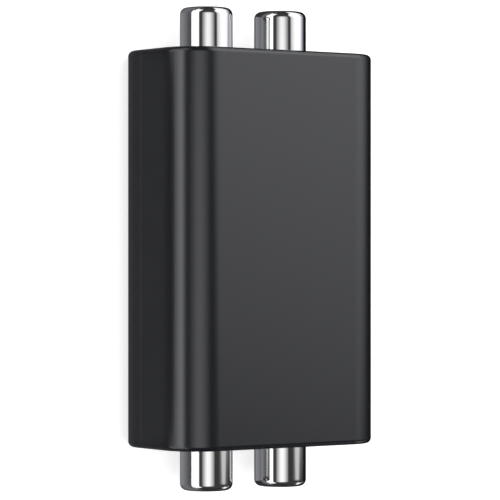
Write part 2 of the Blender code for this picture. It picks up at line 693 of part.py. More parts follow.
def slot_box(centre, half_x, half_y, below, above):
    half_x += FIT
    half_y += FIT
    return (
        (centre[0] - half_x, centre[1] - half_y, below),
        (centre[0] + half_x, centre[1] + half_y, above))


def looks_of_parts():
    return {
        "case": make_material("Case plastic", (0.020, 0.020, 0.021), 0.3),
        "screw": make_material("Blackened steel", (0.06, 0.06, 0.06), 0.4, 1.0),
        "board": make_material("Board laminate", (0.03, 0.16, 0.07), 0.45),
        "barrel": make_material("Bright plating", (0.82, 0.82, 0.83), 0.08, 1.0),
        "left": make_material("White moulding", (0.75, 0.74, 0.70), 0.4),
        "right": make_material("Red moulding", (0.45, 0.02, 0.02), 0.4),
        "contact": make_material("Plated contact", (0.75, 0.73, 0.68), 0.25, 1.0),
        "core": make_material("Lamination steel", (0.16, 0.16, 0.17), 0.5, 1.0),
        "bobbin": make_material("Bobbin nylon", (0.06, 0.06, 0.06), 0.5),
        "copper": make_material("Enamelled copper", (0.55, 0.22, 0.10), 0.35, 1.0),
        "tape": make_material("Yellow tape", (0.75, 0.50, 0.05), 0.4),
        "tinned": make_material("Tinned steel", (0.55, 0.55, 0.55), 0.3, 1.0),
    }


def shade_round(parts):
    for piece in parts.objects:
        if piece.type == "MESH" and "Sheet" not in piece.modifiers:
            piece.data.shade_smooth()
            piece.data.set_sharp_from_angle(angle=math.radians(SHARP_DEGREES))


def build():
    clear_scene()
    parts = new_collection("ground_loop_isolator")
    cutters = new_collection("cutters")
    looks = looks_of_parts()
    front_shell(parts, cutters, looks["case"])
    rear_shell(parts, cutters, looks["case"])
    case_screws(parts, cutters, looks["screw"])
    circuit_board(parts, cutters, looks["board"])
    for name, frame in jack_frames().items():
        barrel(name, frame, parts, looks["barrel"])
        jack_body(name, frame, parts, cutters, looks[name.split("_")[1]])
        centre_contact(name, frame, parts, cutters, looks["contact"])
        ground_contact(name, frame, parts, cutters, looks["contact"])
    for channel, side in CHANNELS.items():
        transformer(channel, side, parts, cutters, looks)
    shade_round(parts)
    cutters.hide_render = True


build()
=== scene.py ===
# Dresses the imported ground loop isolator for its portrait.
# Lengths are in metres. X runs across the case, Y along it, Z up out of the front face.

import json
import math

import bmesh
import bpy
from mathutils import Matrix, Vector


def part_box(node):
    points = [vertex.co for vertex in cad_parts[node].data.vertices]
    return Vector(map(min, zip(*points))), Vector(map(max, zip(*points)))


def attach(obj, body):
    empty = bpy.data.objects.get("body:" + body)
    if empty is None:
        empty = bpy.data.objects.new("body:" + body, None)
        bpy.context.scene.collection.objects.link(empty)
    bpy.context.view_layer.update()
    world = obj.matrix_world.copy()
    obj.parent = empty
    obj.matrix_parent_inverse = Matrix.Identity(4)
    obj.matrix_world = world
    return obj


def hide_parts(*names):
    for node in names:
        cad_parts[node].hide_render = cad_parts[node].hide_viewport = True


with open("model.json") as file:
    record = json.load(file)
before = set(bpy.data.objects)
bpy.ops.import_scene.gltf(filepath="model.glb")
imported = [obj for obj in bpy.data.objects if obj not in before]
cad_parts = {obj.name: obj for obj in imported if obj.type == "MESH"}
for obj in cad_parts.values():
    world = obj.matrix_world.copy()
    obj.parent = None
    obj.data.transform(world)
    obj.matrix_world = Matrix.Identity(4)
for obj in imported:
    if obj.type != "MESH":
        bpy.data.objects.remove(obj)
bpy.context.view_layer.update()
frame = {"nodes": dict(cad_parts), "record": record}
print("frame loaded:", len(frame["nodes"]), "nodes")

mm = 0.001
overcut = 1.0 * mm  # how far a cutter runs past what it cuts
beyondCase = 0.1  # farther out than any part of the case
weldDistance = 0.0005 * mm
scene = bpy.context.scene


# Mesh helpers

def newPiece(name, bm):
    mesh = bpy.data.meshes.new(name)
    bm.to_mesh(mesh)
    bm.free()
    piece = bpy.data.objects.new(name, mesh)
    scene.collection.objects.link(piece)
    return piece


def boxInto(bm, low, high):
    low = Vector(low)
    high = Vector(high)
    place = Matrix.Translation((low + high) / 2) @ Matrix.Diagonal((*(high - low), 1.0))
    return bmesh.ops.create_cube(bm, size=1.0, matrix=place)["verts"]


def boxPiece(name, boxes):
    bm = bmesh.new()
    for low, high in boxes:
        boxInto(bm, low, high)
    return newPiece(name, bm)


def rodPiece(name, rods, steps):
    # rods are (radius, bottom, top), upright
    bm = bmesh.new()
    for radius, bottom, top in rods:
        middle = (Vector(bottom) + Vector(top)) / 2
        bmesh.ops.create_cone(
            bm, cap_ends=True, segments=steps, radius1=radius, radius2=radius,
            depth=top[2] - bottom[2], matrix=Matrix.Translation(middle))
    return newPiece(name, bm)


def spinSection(bm, profile, steps, closed):
    # spins a section of (radius, height) points round Z
    points = [bm.verts.new((radius, 0.0, height)) for radius, height in profile]
    edges = [bm.edges.new(pair) for pair in zip(points, points[1:])]
    if closed:
        edges.append(bm.edges.new((points[-1], points[0])))
    bmesh.ops.spin(
        bm, geom=points + edges, cent=(0, 0, 0), axis=(0, 0, 1), angle=2 * math.pi,
        steps=steps, use_merge=True)
    bmesh.ops.remove_doubles(bm, verts=bm.verts, dist=weldDistance)


def lathe(name, profile, steps, placing=Matrix.Identity(4)):
    # the section closes on itself unless it ends on the axis
    bm = bmesh.new()
    spinSection(bm, profile, steps, min(radius for radius, height in profile) > 0.0)
    bmesh.ops.recalc_face_normals(bm, faces=bm.faces)
    bm.transform(placing)
    return newPiece(name, bm)


def arcPoints(centre, radius, startDegrees, endDegrees, steps):
    points = []
    for i in range(steps + 1):
        angle = math.radians(startDegrees + (endDegrees - startDegrees) * i / steps)
        points.append((centre[0] + radius * math.cos(angle), centre[1] + radius * math.sin(angle)))
    return points


def settle(piece):
    # the modifiers' result becomes the piece's own mesh
    graph = bpy.context.evaluated_depsgraph_get()
    finished = bpy.data.meshes.new_from_object(piece.evaluated_get(graph), depsgraph=graph)
    piece.modifiers.clear()
    piece.data = finished


def boolean(piece, other, operation):
    change = piece.modifiers.new(operation.title(), "BOOLEAN")
    change.operation = operation
    change.solver = "EXACT"
    change.object = other
    settle(piece)
    bpy.data.objects.remove(other, do_unlink=True)


def easeEdges(piece, width, steps, degrees):
    # rounds the edges that turn by more than so many degrees
    easing = piece.modifiers.new("Eased edges", "BEVEL")
    easing.limit_method = "ANGLE"
    easing.angle_limit = math.radians(degrees)
    easing.width = width
    easing.segments = steps
    settle(piece)


def shadeEvenly(piece, sharpDegrees=30):
    # flat faces keep flat shading beside their rounded edges
    piece.data.shade_smooth()
    piece.data.set_sharp_from_angle(angle=math.radians(sharpDegrees))
    weighting = piece.modifiers.new("Face weighted shading", "WEIGHTED_NORMAL")
    weighting.keep_sharp = True
    settle(piece)


def finishPiece(piece, look, slotName, *nodes):
    piece.data.materials.clear()
    piece.data.materials.append(look)
    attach(piece, "root")
    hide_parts(*nodes)


# Material helpers. A noise is a (scale, detail) pair

noiseSpan = (0.3, 0.7)  # the part of a noise's range that is drawn out


def newLook(name, colour, metallic=0.0):
    look = bpy.data.materials.new(name)
    look.use_nodes = True
    shader = look.node_tree.nodes["Principled BSDF"]
    shader.inputs["Base Color"].default_value = (*colour, 1.0)
    shader.inputs["Metallic"].default_value = metallic
    return look, shader


def addNode(look, kind, **settings):
    node = look.node_tree.nodes.new(kind)
    for key, value in settings.items():
        setattr(node, key, value)
    return node


def wire(look, output, socket):
    look.node_tree.links.new(output, socket)


def objectSpace(look, stretch=(1.0, 1.0, 1.0)):
    place = addNode(look, "ShaderNodeTexCoord")
    mapping = addNode(look, "ShaderNodeMapping")
    mapping.inputs["Scale"].default_value = stretch
    wire(look, place.outputs["Object"], mapping.inputs["Vector"])
    return mapping.outputs["Vector"]


def noise(look, vector, scale, detail):
    node = addNode(look, "ShaderNodeTexNoise")
    node.inputs["Scale"].default_value = scale
    node.inputs["Detail"].default_value = detail
    wire(look, vector, node.inputs["Vector"])
    return node.outputs["Fac"]


def spread(look, value, low, high, fromLow=0.0, fromHigh=1.0, curve="LINEAR"):
    node = addNode(look, "ShaderNodeMapRange", interpolation_type=curve)
    node.inputs["From Min"].default_value = fromLow
    node.inputs["From Max"].default_value = fromHigh
    node.inputs["To Min"].default_value = low
    node.inputs["To Max"].default_value = high
    wire(look, value, node.inputs["Value"])
    return node.outputs["Result"]


def wander(look, value, span):
    # a noise drawn out from the low end of a span to its high end
    return spread(look, value, *span, *noiseSpan)


def shaded(look, factor, colour, shades):
    # a colour that drifts between two shades of itself
    node = addNode(look, "ShaderNodeMix", data_type="RGBA")
    for socket, shade in zip((6, 7), shades):  # the Mix node's pair of colours
        node.inputs[socket].default_value = (*[channel * shade for channel in colour], 1.0)
    wire(look, factor, node.inputs["Factor"])
    return node.outputs[2]


def combine(look, operation, first, second):
    node = addNode(look, "ShaderNodeMath", operation=operation)
    wire(look, first, node.inputs[0])
    wire(look, second, node.inputs[1])
    return node.outputs["Value"]


def bump(look, shader, height, depth):
    node = addNode(look, "ShaderNodeBump")
    node.inputs["Distance"].default_value = depth
    wire(look, height, node.inputs["Height"])
    wire(look, node.outputs["Normal"], shader.inputs["Normal"])


def rampThrough(look, value, points):
    # a curve of (place, height) points, both from 0 to 1
    node = addNode(look, "ShaderNodeFloatCurve")
    curve = node.mapping.curves[0]
    curve.points[0].location = points[0]
    curve.points[1].location = points[-1]
    for place, height in points[1:-1]:
        curve.points.new(place, height)
    for point in curve.points:
        point.handle_type = "VECTOR"
    node.mapping.update()
    wire(look, value, node.inputs["Value"])
    return node.outputs["Value"]


def mouldedLook(name, colour, finish):
    # plastic with a cloudy colour, a wandering roughness and a fine grain
    look, shader = newLook(name, colour)
    space = objectSpace(look)
    cloud = noise(look, space, *finish["cloud"])
    wire(look, shaded(look, cloud, colour, finish["shades"]), shader.inputs["Base Color"])
    wear = noise(look, space, *finish["wear"])
    wire(look, wander(look, wear, finish["roughness"]), shader.inputs["Roughness"])
    bump(look, shader, noise(look, space, *finish["grain"]), finish["grainDepth"])
    return look, shader


def patchyLook(name, facts, finish, metallic=0.0):
    # one noise moves both the colour and the roughness
    colour = facts["colour"]
    look, shader = newLook(name, colour, metallic)
    patches = noise(look, objectSpace(look), *finish["patches"])
    wire(look, wander(look, patches, facts["roughness"]), shader.inputs["Roughness"])
    wire(look, shaded(look, patches, colour, finish["shades"]), shader.inputs["Base Color"])
    return look, shader


# Camera: the photograph's view, from the left of the front face, with the case lying on its back

camera = {
    "turn": 35.26,  # degrees off the front face
    "distance": 449.48 * mm,
    "aimHeight": 10.2 * mm,
    "sideStep": 0.12 * mm,
    "lens": 204.9,
    "sensor": 36.0,
    "shiftUp": -0.0022,
    "clip": (0.01, 20.0),
}


def placeCamera():
    turn = math.radians(camera["turn"])
    forward = Vector((math.sin(turn), 0.0, -math.cos(turn)))
    right = Vector((math.cos(turn), 0.0, math.sin(turn)))
    up = Vector((0.0, 1.0, 0.0))
    data = bpy.data.cameras.new("portraitCamera")
    data.sensor_width = camera["sensor"]
    data.lens = camera["lens"]
    data.shift_y = camera["shiftUp"]
    data.clip_start, data.clip_end = camera["clip"]
    eye = bpy.data.objects.new("portraitCamera", data)
    scene.collection.objects.link(eye)
    turned = Matrix((right, up, -forward)).transposed().to_4x4()
    aim = Vector((0.0, 0.0, camera["aimHeight"]))
    place = aim - forward * camera["distance"] - right * camera["sideStep"]
    eye.matrix_world = Matrix.Translation(place) @ turned
    scene.camera = eye


placeCamera()
print("camera placed")


# What the pieces are fitted to

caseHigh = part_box("front_shell")[1]
screwPlaces = [sum(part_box(f"case_screw_{n}"), Vector()) / 2 for n in range(1, 5)]
jackNames = [f"{end}_{channel}" for end in ("input", "output") for channel in ("left", "right")]


def jackPlace(name):
    # the jack's middle across the case, and which way it points along it
    low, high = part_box(f"{name}_barrel")
    return (low.x + high.x) / 2, 1.0 if high.y > 0.0 else -1.0


def jackFrame(name):
    # takes a piece turned round Z to the jack's axis, with Z pointing out of the case
    x, way = jackPlace(name)
    facing = Matrix.Rotation(-math.pi / 2 * way, 4, "X")
    return Matrix.Translation((x, 0.0, caseShape["partingHeight"])) @ facing


def endsOf(node):
    # how far out from the case's middle a jack's piece starts and stops
    low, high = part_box(node)
    return sorted((abs(low.y), abs(high.y)))


def pieceName(name):
    end, channel = name.split("_")
    return end + channel.title()


# Case: two mouldings that meet at the jacks' middle height

caseShape = {
    "wall": 1.8 * mm,
    "longEdgeRadius": 6.5 * mm,
    "longEdgeSteps": 24,
    "endFillet": 0.8 * mm,
    "endFilletSteps": 6,
    "partingHeight": 8.2 * mm,
    "seamGap": 0.03 * mm,
    "seamEasing": 0.08 * mm,
    "seamEasingSteps": 3,
    "easedFrom": 60,  # degrees
    "lipHeight": 1.2 * mm,
    "lipWidth": 0.75 * mm,
    "fit": 0.3 * mm,
    "jackHoleRadius": 4.45 * mm,
    "jackHoleFlare": 0.25 * mm,
    "pillarRadius": 2.6 * mm,
    "postRadius": 1.2 * mm,
    "postInset": 1.5 * mm,
    "seatTop": 2.3 * mm,
    "partsFloor": 4.1 * mm,
    "ribThickness": 1.2 * mm,
    "jackRibBottom": 13.0 * mm,
    "jackRibPlace": 23.7 * mm,
    "jackRibReach": 11.75 * mm,
    "screwRadius": 1.1 * mm,
    "headRadius": 2.0 * mm,
    "headRecessTop": 1.3 * mm,
    "boreTop": 11.5 * mm,
    "jackHoleSteps": 96,
    "sinkSteps": 64,
    "pillarSteps": 48,  # seats too
    "boreSteps": 32,  # posts too
}


def roundedBar(name, low, high, radius, steps):
    # a box whose four edges along Y are rounded
    bm = bmesh.new()
    boxInto(bm, low, high)
    weights = bm.edges.layers.float.new("bevel_weight_edge")
    for edge in bm.edges:
        along = edge.verts[0].co - edge.verts[1].co
        edge[weights] = 1.0 if abs(along.y) > max(abs(along.x), abs(along.z)) else 0.0
    piece = newPiece(name, bm)
    rounding = piece.modifiers.new("Long edges", "BEVEL")
    rounding.limit_method = "WEIGHT"
    rounding.width = radius
    rounding.segments = steps
    rounding.use_clamp_overlap = False
    settle(piece)
    return piece


def caseHalf(name, cutBottom, cutTop):
    # the whole case's outside, with one slab of it taken away and the new edge eased
    s = caseShape
    low = (-caseHigh.x, -caseHigh.y, 0.0)
    block = roundedBar(name, low, caseHigh, s["longEdgeRadius"], s["longEdgeSteps"])
    easeEdges(block, s["endFillet"], s["endFilletSteps"], s["easedFrom"])
    slab = ((-beyondCase, -beyondCase, cutBottom), (beyondCase, beyondCase, cutTop))
    boolean(block, boxPiece("slab", [slab]), "DIFFERENCE")
    easeEdges(block, s["seamEasing"], s["seamEasingSteps"], s["easedFrom"])
    return block


def caseCavity():
    wall = caseShape["wall"]
    low = (wall - caseHigh.x, wall - caseHigh.y, wall)
    high = (caseHigh.x - wall, caseHigh.y - wall, caseHigh.z - wall)
    inner = caseShape["longEdgeRadius"] - wall
    return roundedBar("cavity", low, high, inner, caseShape["longEdgeSteps"] // 2)


def lipBlock(growth, bottom, top):
    halfX = caseHigh.x - caseShape["wall"] + growth
    halfY = caseHigh.y - caseShape["wall"] + growth
    return boxPiece("lip", [((-halfX, -halfY, bottom), (halfX, halfY, top))])


def drillJackHoles(shell):
    # each hole flares a little at the outside of the end wall
    hole = caseShape["jackHoleRadius"]
    flare = caseShape["jackHoleFlare"]
    outside = caseHigh.y
    inside = outside - caseShape["wall"] - overcut
    profile = [(0.0, outside + overcut), (hole + flare + overcut, outside + overcut)]
    profile += [(hole, outside - flare), (hole, inside), (0.0, inside)]
    for name in jackNames:
        drill = lathe("drill", profile, caseShape["jackHoleSteps"], jackFrame(name))
        boolean(shell, drill, "DIFFERENCE")


def uprights(places, radius, bottom, top):
    return [(radius, (p.x, p.y, bottom), (p.x, p.y, top)) for p in places]


def makeFrontShell():
    s = caseShape
    fit = s["fit"]
    parting = s["partingHeight"]
    shell = caseHalf("frontShell", -beyondCase, parting + s["seamGap"] / 2)
    boolean(shell, caseCavity(), "DIFFERENCE")
    rebateTop = parting + fit / 2 + s["lipHeight"]
    rebate = lipBlock(s["lipWidth"] + fit, parting - overcut, rebateTop)
    boolean(shell, rebate, "DIFFERENCE")
    into = caseHigh.z - s["wall"] / 2
    floor = s["partsFloor"]
    pillars = uprights(screwPlaces, s["pillarRadius"], floor, into)
    boolean(shell, rodPiece("pillars", pillars, s["pillarSteps"]), "UNION")
    half = s["ribThickness"] / 2
    reach = s["jackRibReach"]
    ribs = []
    for end in (-1, 1):
        y = end * s["jackRibPlace"]
        ribs.append(((-reach, y - half, s["jackRibBottom"]), (reach, y + half, into)))
    for side in ("left", "right"):
        low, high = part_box(f"{side}_transformer_frame")
        x = (low.x + high.x) / 2
        ribs.append(((x - half, low.y, high.z + fit), (x + half, high.y, into)))
    boolean(shell, boxPiece("ribs", ribs), "UNION")
    bores = uprights(screwPlaces, s["screwRadius"] + fit, floor - overcut, s["boreTop"])
    boolean(shell, rodPiece("bores", bores, s["boreSteps"]), "DIFFERENCE")
    drillJackHoles(shell)
    shadeEvenly(shell)
    return shell


def makeRearShell():
    s = caseShape
    fit = s["fit"]
    parting = s["partingHeight"]
    shell = caseHalf("rearShell", parting - s["seamGap"] / 2, beyondCase)
    lipTop = parting - fit / 2 + s["lipHeight"]
    boolean(shell, lipBlock(s["lipWidth"], parting - fit - overcut, lipTop), "UNION")
    boolean(shell, caseCavity(), "DIFFERENCE")
    inWall = s["wall"] / 2
    seats = uprights(screwPlaces, s["pillarRadius"], inWall, s["seatTop"])
    boolean(shell, rodPiece("seats", seats, s["pillarSteps"]), "UNION")
    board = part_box("circuit_board")[1]
    postX = board.x - s["postInset"]
    postY = board.y - s["postInset"]
    corners = [Vector((sx * postX, sy * postY, 0.0)) for sx in (-1, 1) for sy in (-1, 1)]
    posts = uprights(corners, s["postRadius"], inWall, s["seatTop"])
    boolean(shell, rodPiece("posts", posts, s["boreSteps"]), "UNION")
    sinks = uprights(screwPlaces, s["headRadius"] + fit, -overcut, s["headRecessTop"])
    boolean(shell, rodPiece("sinks", sinks, s["sinkSteps"]), "DIFFERENCE")
    bores = uprights(screwPlaces, s["screwRadius"] + fit, 0.0, s["seatTop"] + overcut)
    boolean(shell, rodPiece("bores", bores, s["boreSteps"]), "DIFFERENCE")
    drillJackHoles(shell)
    shadeEvenly(shell)
    return shell


casePlastic = {
    "colour": (0.0082, 0.0088, 0.0112),
    "sheenTint": (0.98, 0.985, 1.0),
    "shine": 0.87,  # specular level
    "cloud": (120.0, 3.0),
    "shades": (0.92, 1.08),
    "wear": (1500.0, 2.0),
    "roughness": (0.215, 0.24),
    "grain": (7000.0, 3.0),
    "grainDepth": 0.0012 * mm,
}


def casePlasticLook():
    look, shader = mouldedLook("satinBlackPlastic", casePlastic["colour"], casePlastic)
    shader.inputs["Specular IOR Level"].default_value = casePlastic["shine"]
    shader.inputs["Specular Tint"].default_value = (*casePlastic["sheenTint"], 1.0)
    return look


plastic = casePlasticLook()
frontShell = makeFrontShell()
finishPiece(frontShell, plastic, "case_plastic", "front_shell")
rearShell = makeRearShell()
finishPiece(rearShell, plastic, "case_plastic", "rear_shell")
print("case made:", len(frontShell.data.polygons), "and", len(rearShell.data.polygons), "faces")


# Jack barrels: drawn sleeves, bright plated

barrelShape = {
    "radius": 4.15 * mm,
    "wall": 0.4 * mm,
    "rimRadius": 1.05 * mm,
    "rimRing": 0.2 * mm,  # a narrow ring between the rim and the long sleeve
    "collarStep": 0.6 * mm,
    "collarOutside": 28.8 * mm,
    "collarInside": 27.8 * mm,
    "collarEasing": 0.1 * mm,
    "easingSteps": 3,
    "rimSteps": 16,
    "roundSteps": 144,
    "sharpDegrees": 40,
}
plating = {
    "colour": (0.862, 0.864, 0.867),
    "cloud": (150.0, 2.0),
    "shades": (0.98, 1.0),
    "marks": (900.0, 4.0),
    "markStretch": (1.0, 6.0, 1.0),  # faint draw marks run round the sleeve
    "roughness": (0.035, 0.065),
}


def makeBarrel(name):
    s = barrelShape
    low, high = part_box(f"{name}_barrel")
    tip = max(abs(low.y), abs(high.y))
    radius = s["radius"]
    bore = radius - s["wall"]
    rim = s["rimRadius"]
    centre = (radius - rim, tip - rim)
    ring = tip - rim - s["rimRing"]
    ease = s["collarEasing"]
    collar = radius + s["collarStep"]
    profile = arcPoints(centre, rim, 90, 0, s["rimSteps"])
    profile += [(radius, ring), (radius, s["collarOutside"])]
    profile += arcPoints((collar - ease, s["collarOutside"] - ease), ease, 90, 0, s["easingSteps"])
    profile += arcPoints((collar - ease, s["collarInside"] + ease), ease, 0, -90, s["easingSteps"])
    profile += [(bore, s["collarInside"]), (bore, ring)]
    profile += arcPoints(centre, rim - s["wall"], 0, 90, s["rimSteps"] // 2)
    barrel = lathe(f"{pieceName(name)}Barrel", profile, s["roundSteps"], jackFrame(name))
    shadeEvenly(barrel, s["sharpDegrees"])
    return barrel


def platingLook():
    colour = plating["colour"]
    look, shader = newLook("brightPlating", colour, 1.0)
    marks = noise(look, objectSpace(look, plating["markStretch"]), *plating["marks"])
    wire(look, wander(look, marks, plating["roughness"]), shader.inputs["Roughness"])
    cloud = noise(look, objectSpace(look), *plating["cloud"])
    wire(look, shaded(look, cloud, colour, plating["shades"]), shader.inputs["Base Color"])
    return look


bright = platingLook()
for jack in jackNames:
    finishPiece(makeBarrel(jack), bright, "bright_plating", f"{jack}_barrel")
print("barrels made")


# Jack bodies: moulded insulators, white for the left channel and red for the right

bodyShape = {
    "blockLength": 6.0 * mm,
    "blockEdge": 0.3 * mm,
    "blockEdgeSteps": 4,
    "easedFrom": 30,  # degrees
    "noseRadius": 3.45 * mm,
    "noseChamfer": 0.6 * mm,
    "noseBulge": (0.35, 0.25),  # the chamfer's bend, inward and back, as shares of its width
    "pinHole": 1.75 * mm,
    "pinHoleFlare": 0.22 * mm,
    "stepDepth": 1.2 * mm,
    "socketHole": 2.4 * mm,
    "roundSteps": 96,
}
mouldings = {
    "left": {"look": "whiteMoulding", "slot": "white_moulding", "colour": (0.75, 0.74, 0.70)},
    "right": {"look": "redMoulding", "slot": "red_moulding", "colour": (0.45, 0.02, 0.02)},
}
mouldingFinish = {
    "cloud": (300.0, 3.0),
    "shades": (0.93, 1.04),
    "wear": (900.0, 2.0),
    "roughness": (0.28, 0.42),
    "grain": (9000.0, 2.0),
    "grainDepth": 0.001 * mm,
}


def sweptBox(x, halfWidth, way, inner, outer, bottom, top):
    ys = sorted((way * inner, way * outer))
    return (x - halfWidth, ys[0], bottom), (x + halfWidth, ys[1], top)


def makeBody(name):
    s = bodyShape
    x, way = jackPlace(name)
    low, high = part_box(f"{name}_body")
    inner, tip = endsOf(f"{name}_body")
    outer = inner + s["blockLength"]
    block = sweptBox(x, (high.x - low.x) / 2, way, inner, outer, low.z, high.z)
    body = boxPiece(f"{pieceName(name)}Body", [block])
    easeEdges(body, s["blockEdge"], s["blockEdgeSteps"], s["easedFrom"])
    radius = s["noseRadius"]
    chamfer = s["noseChamfer"]
    inward, back = s["noseBulge"]
    start = outer - overcut
    profile = [(0.0, tip), (radius - chamfer, tip)]
    profile += [(radius - chamfer * inward, tip - chamfer * back)]
    profile += [(radius, tip - chamfer), (radius, start), (0.0, start)]
    boolean(body, lathe("nose", profile, s["roundSteps"], jackFrame(name)), "UNION")
    hole = s["pinHole"]
    flare = s["pinHoleFlare"]
    step = tip - s["stepDepth"]
    end = inner - overcut
    profile = [(0.0, tip + overcut), (hole + flare + overcut, tip + overcut)]
    profile += [(hole, tip - flare), (hole, step)]
    profile += [(s["socketHole"], step), (s["socketHole"], end), (0.0, end)]
    boolean(body, lathe("hole", profile, s["roundSteps"], jackFrame(name)), "DIFFERENCE")
    shadeEvenly(body)
    return body


for channel, facts in mouldings.items():
    moulding = mouldedLook(facts["look"], facts["colour"], mouldingFinish)[0]
    for jack in jackNames:
        if jack.endswith(channel):
            finishPiece(makeBody(jack), moulding, facts["slot"], f"{jack}_body")
print("jack bodies made")


# Centre contacts: a slit socket tube that grips the plug's pin, and a leg down through the board

contactShape = {
    "radius": 2.1 * mm,
    "wall": 0.4 * mm,
    "mouthEasing": 0.12 * mm,
    "slitWidth": 0.32 * mm,
    "slitLength": 7.0 * mm,
    "slitTurns": (45, 135),  # degrees
    "legHalfWidth": 0.6 * mm,
    "legThickness": 0.5 * mm,
    "tipLength": 0.7 * mm,
    "tipShare": 0.55,
    "roundSteps": 64,
}
contactPlating = {
    "colour": (0.75, 0.73, 0.68),
    "roughness": (0.18, 0.3),
    "grain": (2500.0, 2.0),
    "grainDepth": 0.002 * mm,
}
metalFinish = {"patches": (700.0, 3.0), "shades": (0.9, 1.0)}


def taperedLeg(name, low, high, tipLength, tipShare):
    bm = bmesh.new()
    boxInto(bm, low, high)
    everything = bm.verts[:] + bm.edges[:] + bm.faces[:]
    bmesh.ops.bisect_plane(
        bm, geom=everything, dist=0.0001 * mm, plane_co=(0.0, 0.0, low[2] + tipLength),
        plane_no=(0.0, 0.0, 1.0))
    middle = (low[0] + high[0]) / 2
    for vert in bm.verts:
        if vert.co.z < low[2] + tipLength / 2:
            vert.co.x = middle + (vert.co.x - middle) * tipShare
    return newPiece(name, bm)


def makeContact(name):
    s = contactShape
    x, way = jackPlace(name)
    node = f"{name}_centre_contact"
    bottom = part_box(node)[0].z
    inner, front = endsOf(node)
    back = inner + s["legThickness"] / 2
    radius = s["radius"]
    hole = radius - s["wall"]
    ease = s["mouthEasing"]
    profile = [(radius - ease, front), (radius, front - ease), (radius, back), (hole, back)]
    profile += [(hole, front - 2 * ease), (hole + ease, front)]
    tube = lathe(f"{pieceName(name)}Contact", profile, s["roundSteps"], jackFrame(name))
    half = s["slitWidth"] / 2
    reach = radius + overcut
    slitBox = ((-half, -reach, front - s["slitLength"]), (half, reach, front + overcut))
    for turn in s["slitTurns"]:
        slit = boxPiece("slit", [slitBox])
        slit.data.transform(jackFrame(name) @ Matrix.Rotation(math.radians(turn), 4, "Z"))
        boolean(tube, slit, "DIFFERENCE")
    outer = inner + s["legThickness"]
    low, high = sweptBox(
        x, s["legHalfWidth"], way, inner, outer, bottom, caseShape["partingHeight"])
    boolean(tube, taperedLeg("leg", low, high, s["tipLength"], s["tipShare"]), "UNION")
    shadeEvenly(tube)
    return tube


def grainyMetal(name, facts):
    look, shader = patchyLook(name, facts, metalFinish, 1.0)
    bump(look, shader, noise(look, objectSpace(look), *facts["grain"]), facts["grainDepth"])
    return look


platedContact = grainyMetal("platedContact", contactPlating)
for jack in jackNames:
    finishPiece(makeContact(jack), platedContact, "plated_contact", f"{jack}_centre_contact")
print("centre contacts made")


# Case screws: rounded heads with a cross recess, and a coarse thread for plastic

screwShape = {
    "headRadius": 2.0 * mm,
    "headHeight": 0.9 * mm,
    "headRounding": 0.45 * mm,
    "headRoundingSteps": 8,
    "coreRadius": 0.8 * mm,
    "crestRadius": 1.1 * mm,
    "plainNeck": 0.6 * mm,
    "pitch": 1.0 * mm,
    "ridgeWidth": 0.5 * mm,
    "ridgeSink": 0.1 * mm,  # how deep the ridge is set in the core
    "pointLength": 1.2 * mm,
    "pointRadius": 0.35 * mm,
    "recessReach": 1.2 * mm,
    "recessWidth": 0.5 * mm,
    "recessDepth": 0.5 * mm,
    "recessTaper": 0.45,
    "recessOverrun": 0.05 * mm,
    "roundSteps": 48,
}
screwSteel = {
    "colour": (0.06, 0.06, 0.06),
    "roughness": (0.32, 0.48),
    "grain": (3000.0, 2.0),
    "grainDepth": 0.002 * mm,
}


def threadRidge(start, end):
    # a three-sided ridge wound up the core
    s = screwShape
    half = s["ridgeWidth"] / 2
    root = s["coreRadius"] - s["ridgeSink"]
    turns = (end - start) / s["pitch"]
    steps = int(turns * s["roundSteps"] / 2)
    bm = bmesh.new()
    corners = [(root, 0.0, start - half), (s["crestRadius"], 0.0, start), (root, 0.0, start + half)]
    first = bm.faces.new([bm.verts.new(corner) for corner in corners])
    bmesh.ops.spin(
        bm, geom=[first], cent=(0, 0, 0), axis=(0, 0, 1), dvec=(0, 0, (end - start) / steps),
        angle=2 * math.pi * turns, steps=steps)
    bmesh.ops.recalc_face_normals(bm, faces=bm.faces)
    return newPiece("ridge", bm)


def recessBlade(turn, headFace):
    # one arm of the cross, narrower at its deep end
    s = screwShape
    reach = s["recessReach"]
    half = s["recessWidth"] / 2
    depth = s["recessDepth"]
    bm = bmesh.new()
    for vert in boxInto(bm, (-reach, -half, headFace), (reach, half, headFace + depth)):
        if vert.co.z > headFace + depth / 2:
            vert.co.x *= s["recessTaper"]
        else:
            vert.co.z = headFace - s["recessOverrun"]
    bm.transform(Matrix.Rotation(turn, 4, "Z"))
    return newPiece("blade", bm)


def makeScrew():
    # modelled at the middle of the case, head down as it lies, then set in each place
    s = screwShape
    low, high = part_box("case_screw_1")
    face = low.z
    tip = high.z
    under = face + s["headHeight"]
    point = tip - s["pointLength"]
    rounding = s["headRounding"]
    radius = s["headRadius"]
    centre = (radius - rounding, face + rounding)
    profile = [(0.0, face)] + arcPoints(centre, rounding, -90, 0, s["headRoundingSteps"])
    profile += [(radius, under), (s["coreRadius"], under), (s["coreRadius"], point)]
    profile += [(s["pointRadius"], tip), (0.0, tip)]
    screw = lathe("caseScrew", profile, s["roundSteps"])
    boolean(screw, threadRidge(under + s["plainNeck"], point), "UNION")
    for turn in (0.0, math.pi / 2):
        boolean(screw, recessBlade(turn, face), "DIFFERENCE")
    shadeEvenly(screw)
    return screw


screwPattern = makeScrew()
blackSteel = grainyMetal("blackenedSteel", screwSteel)
for number, place in enumerate(screwPlaces, 1):
    mesh = screwPattern.data.copy()
    mesh.transform(Matrix.Translation((place.x, place.y, 0.0)))
    screw = bpy.data.objects.new(f"caseScrew{number}", mesh)
    scene.collection.objects.link(screw)
    finishPiece(screw, blackSteel, "screw_steel", f"case_screw_{number}")
bpy.data.objects.remove(screwPattern, do_unlink=True)
print("screws made")


